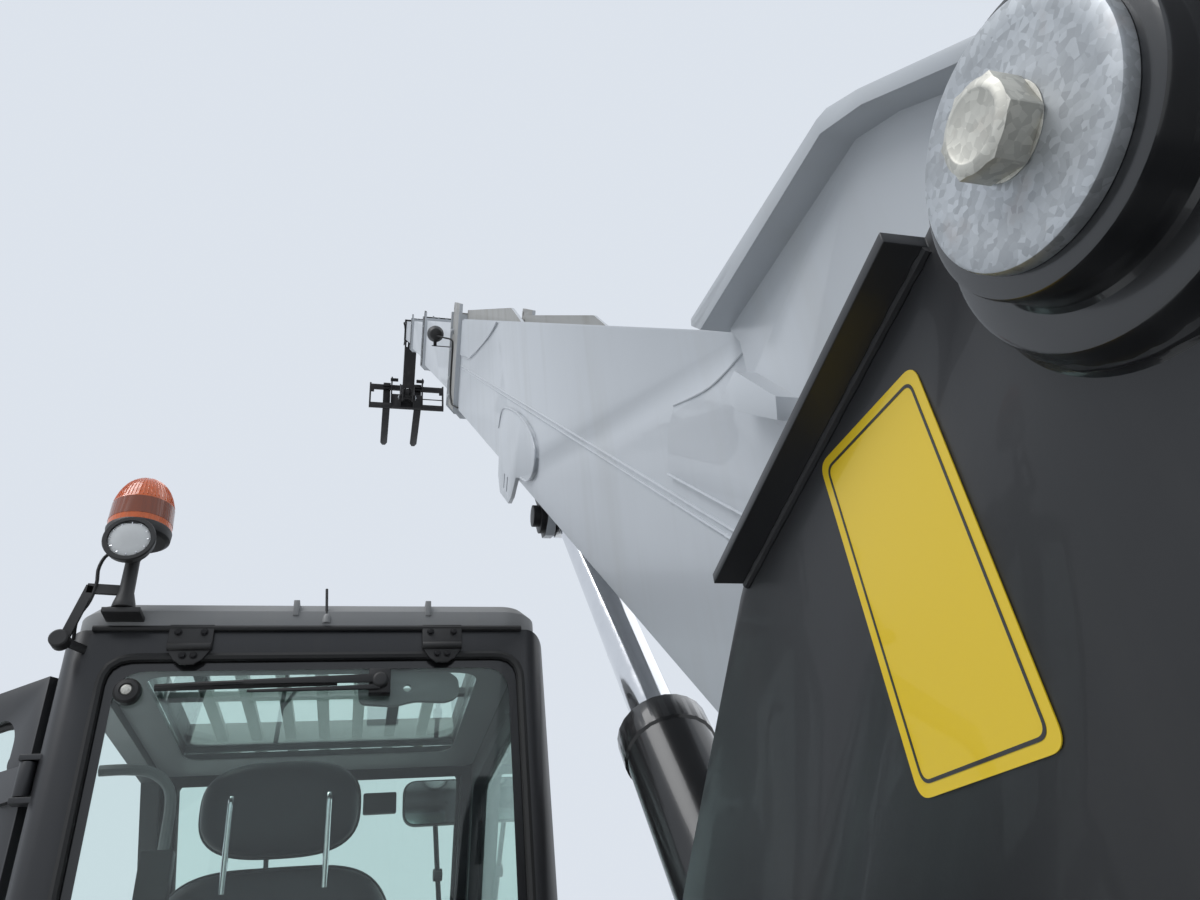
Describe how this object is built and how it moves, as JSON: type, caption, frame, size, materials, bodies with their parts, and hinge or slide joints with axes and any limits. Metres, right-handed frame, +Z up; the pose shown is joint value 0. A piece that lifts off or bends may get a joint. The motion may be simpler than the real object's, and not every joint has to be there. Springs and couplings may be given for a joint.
{
  "type": "telescopic handler",
  "caption": "Rough terrain telescopic handler: fixed chassis with cab beside a multi-section lifting boom, fork carriage, steered wheels and front stabilisers.",
  "frame": {"origin": "centre of the bounding box in plan, on the ground under the wheels", "axes": "+X forward along the boom and forks, +Y to the driver's left, +Z up"},
  "size_m": [14.7282, 3.267, 12.1444],
  "materials": {
    "tyre_rubber": "matt black tyre rubber, worn grey on the tread",
    "rim_paint": "light grey painted disc wheel",
    "chassis_paint": "satin anthracite paint with dust",
    "axle_paint": "black painted castings",
    "pin_zinc": "mottled zinc plating",
    "boom_paint": "semi gloss white paint, cool shade, streaked",
    "head_paint": "satin black paint",
    "fork_steel": "black painted forged steel, rubbed bare at the tips",
    "chrome_rod": "hard chromed and oiled rod",
    "cylinder_paint": "gloss black cylinder paint",
    "cab_paint": "satin anthracite paint with dust",
    "roof_plastic": "light grey moulded roof edge",
    "cab_glass": "green tinted safety glass",
    "seat_fabric": "black woven seat cloth",
    "trim_plastic": "black moulded plastic",
    "engine_iron": "painted engine castings"
  },
  "bodies": {
    "chassis": {"chassis_frame": "chassis_paint", "boom_pivot_pin": "pin_zinc", "rear_axle": "axle_paint", "front_axle": "axle_paint", "cab_frame": "cab_paint", "cab_roof": "roof_plastic", "cab_glass": "cab_glass", "seat": "seat_fabric", "steering_console": "trim_plastic", "cab_fittings": "trim_plastic", "engine_tub": "cab_paint", "engine_block": "engine_iron", "fuel_tank_steps": "chassis_paint", "rear_body": "chassis_paint", "stabiliser_housing": "chassis_paint"},
    "boom_1": {"boom_outer": "boom_paint"},
    "boom_2": {"boom_inner_1": "boom_paint"},
    "boom_3": {"boom_inner_2": "boom_paint"},
    "boom_4": {"boom_inner_3": "boom_paint", "boom_neck": "head_paint"},
    "lift_rod_body": {"lift_rod": "chrome_rod"},
    "lift_barrel_body": {"lift_barrel": "cylinder_paint"},
    "carriage": {"fork_carriage": "head_paint", "fork_tines": "fork_steel"},
    "tilt_barrel_body": {"tilt_barrel": "cylinder_paint"},
    "tilt_rod_body": {"tilt_rod": "chrome_rod"},
    "door": {"door_frame": "cab_paint", "door_glass": "cab_glass"},
    "engine_lid": {"engine_cover": "cab_paint"},
    "stabiliser_left": {"stabiliser_leg_left": "chassis_paint"},
    "stabiliser_right": {"stabiliser_leg_right": "chassis_paint"},
    "knuckle_body_rear_left": {"knuckle_rear_left": "axle_paint", "mudguard_rear_left": "trim_plastic"},
    "wheel_rear_left": {"tyre_rear_left": "tyre_rubber", "rim_rear_left": "rim_paint"},
    "knuckle_body_rear_right": {"knuckle_rear_right": "axle_paint", "mudguard_rear_right": "trim_plastic"},
    "wheel_rear_right": {"tyre_rear_right": "tyre_rubber", "rim_rear_right": "rim_paint"},
    "knuckle_body_front_left": {"knuckle_front_left": "axle_paint", "mudguard_front_left": "trim_plastic"},
    "wheel_front_left": {"tyre_front_left": "tyre_rubber", "rim_front_left": "rim_paint"},
    "knuckle_body_front_right": {"knuckle_front_right": "axle_paint", "mudguard_front_right": "trim_plastic"},
    "wheel_front_right": {"tyre_front_right": "tyre_rubber", "rim_front_right": "rim_paint"}
  },
  "joints": [
    {"name": "steer_rear_left", "type": "hinge", "parent": "chassis", "child": "knuckle_body_rear_left", "pos_m": [-6.31909, 0.31651, 0.59], "axis": [0, 0, 1], "range_deg": [-30, 30]},
    {"name": "spin_rear_left", "type": "hinge", "parent": "knuckle_body_rear_left", "child": "wheel_rear_left", "pos_m": [-6.31909, 0.58151, 0.59], "axis": [0, 1, 0], "continuous": true},
    {"name": "steer_rear_right", "type": "hinge", "parent": "chassis", "child": "knuckle_body_rear_right", "pos_m": [-6.31909, -1.15349, 0.59], "axis": [0, 0, 1], "range_deg": [-30, 30]},
    {"name": "spin_rear_right", "type": "hinge", "parent": "knuckle_body_rear_right", "child": "wheel_rear_right", "pos_m": [-6.31909, -1.41849, 0.59], "axis": [0, 1, 0], "continuous": true},
    {"name": "steer_front_left", "type": "hinge", "parent": "chassis", "child": "knuckle_body_front_left", "pos_m": [-3.24909, 0.31651, 0.59], "axis": [0, 0, 1], "range_deg": [-30, 30]},
    {"name": "spin_front_left", "type": "hinge", "parent": "knuckle_body_front_left", "child": "wheel_front_left", "pos_m": [-3.24909, 0.58151, 0.59], "axis": [0, 1, 0], "continuous": true},
    {"name": "steer_front_right", "type": "hinge", "parent": "chassis", "child": "knuckle_body_front_right", "pos_m": [-3.24909, -1.15349, 0.59], "axis": [0, 0, 1], "range_deg": [-30, 30]},
    {"name": "spin_front_right", "type": "hinge", "parent": "knuckle_body_front_right", "child": "wheel_front_right", "pos_m": [-3.24909, -1.41849, 0.59], "axis": [0, 1, 0], "continuous": true},
    {"name": "boom_lift", "type": "hinge", "parent": "chassis", "child": "boom_1", "pos_m": [-6.66908, -0.41849, 1.924], "axis": [0, -1, 0], "range_deg": [-45, 20]},
    {"name": "boom_extend_1", "type": "slide", "parent": "boom_1", "child": "boom_2", "axis": [0.7431, 0, 0.6691], "range_m": [-3.433, 0]},
    {"name": "boom_extend_2", "type": "slide", "parent": "boom_2", "child": "boom_3", "axis": [0.7431, 0, 0.6691], "range_m": [-3.433, 0]},
    {"name": "boom_extend_3", "type": "slide", "parent": "boom_3", "child": "boom_4", "axis": [0.7431, 0, 0.6691], "range_m": [-3.433, 0]},
    {"name": "lift_rod_swing", "type": "hinge", "parent": "boom_1", "child": "lift_rod_body", "pos_m": [-4.62524, -0.41849, 2.88962], "axis": [0, -1, 0], "range_deg": [-2.5, 5.5]},
    {"name": "lift_barrel_slide", "type": "slide", "parent": "lift_rod_body", "child": "lift_barrel_body", "axis": [-0.5664, 0, -0.8241], "range_m": [-0.89635, 0.39894]},
    {"name": "carriage_tilt", "type": "hinge", "parent": "boom_4", "child": "carriage", "pos_m": [5.96408, -0.41849, 11.28051], "axis": [0, -1, 0], "range_deg": [-68, 57]},
    {"name": "tilt_barrel_swing", "type": "hinge", "parent": "boom_4", "child": "tilt_barrel_body", "pos_m": [5.07349, -0.41849, 11.85116], "axis": [0, -1, 0], "range_deg": [-5.23, 6.22]},
    {"name": "tilt_rod_slide", "type": "slide", "parent": "tilt_barrel_body", "child": "tilt_rod_body", "axis": [0.908, 0, -0.4191], "range_m": [-0.12038, 0.14342]},
    {"name": "door_hinge", "type": "hinge", "parent": "chassis", "child": "door", "pos_m": [-5.04108, 0.73551, 1.6], "axis": [0, 0, 1], "range_deg": [-49, 46]},
    {"name": "engine_lid_hinge", "type": "hinge", "parent": "chassis", "child": "engine_lid", "pos_m": [-4.79408, -0.71749, 1.52], "axis": [-1, 0, 0], "range_deg": [0, 70]},
    {"name": "stabiliser_slide_left", "type": "slide", "parent": "chassis", "child": "stabiliser_left", "axis": [0, 0.829, -0.5592], "range_m": [0, 0.51]},
    {"name": "stabiliser_slide_right", "type": "slide", "parent": "chassis", "child": "stabiliser_right", "axis": [0, -0.829, -0.5592], "range_m": [0, 0.51]}
  ],
  "couplings": [
    {"joint": "boom_extend_2", "follows": "boom_extend_1", "ratio": 1},
    {"joint": "boom_extend_3", "follows": "boom_extend_1", "ratio": 1},
    {"joint": "steer_front_right", "follows": "steer_front_left", "ratio": 1},
    {"joint": "steer_rear_right", "follows": "steer_rear_left", "ratio": 1},
    {"joint": "lift_rod_swing", "follows": "boom_lift", "ratio": -0.12},
    {"joint": "lift_barrel_slide", "follows": "boom_lift", "m_per_rad": 1.14},
    {"joint": "tilt_barrel_swing", "follows": "carriage_tilt", "ratio": -0.09},
    {"joint": "tilt_rod_slide", "follows": "carriage_tilt", "m_per_rad": -0.12}
  ]
}
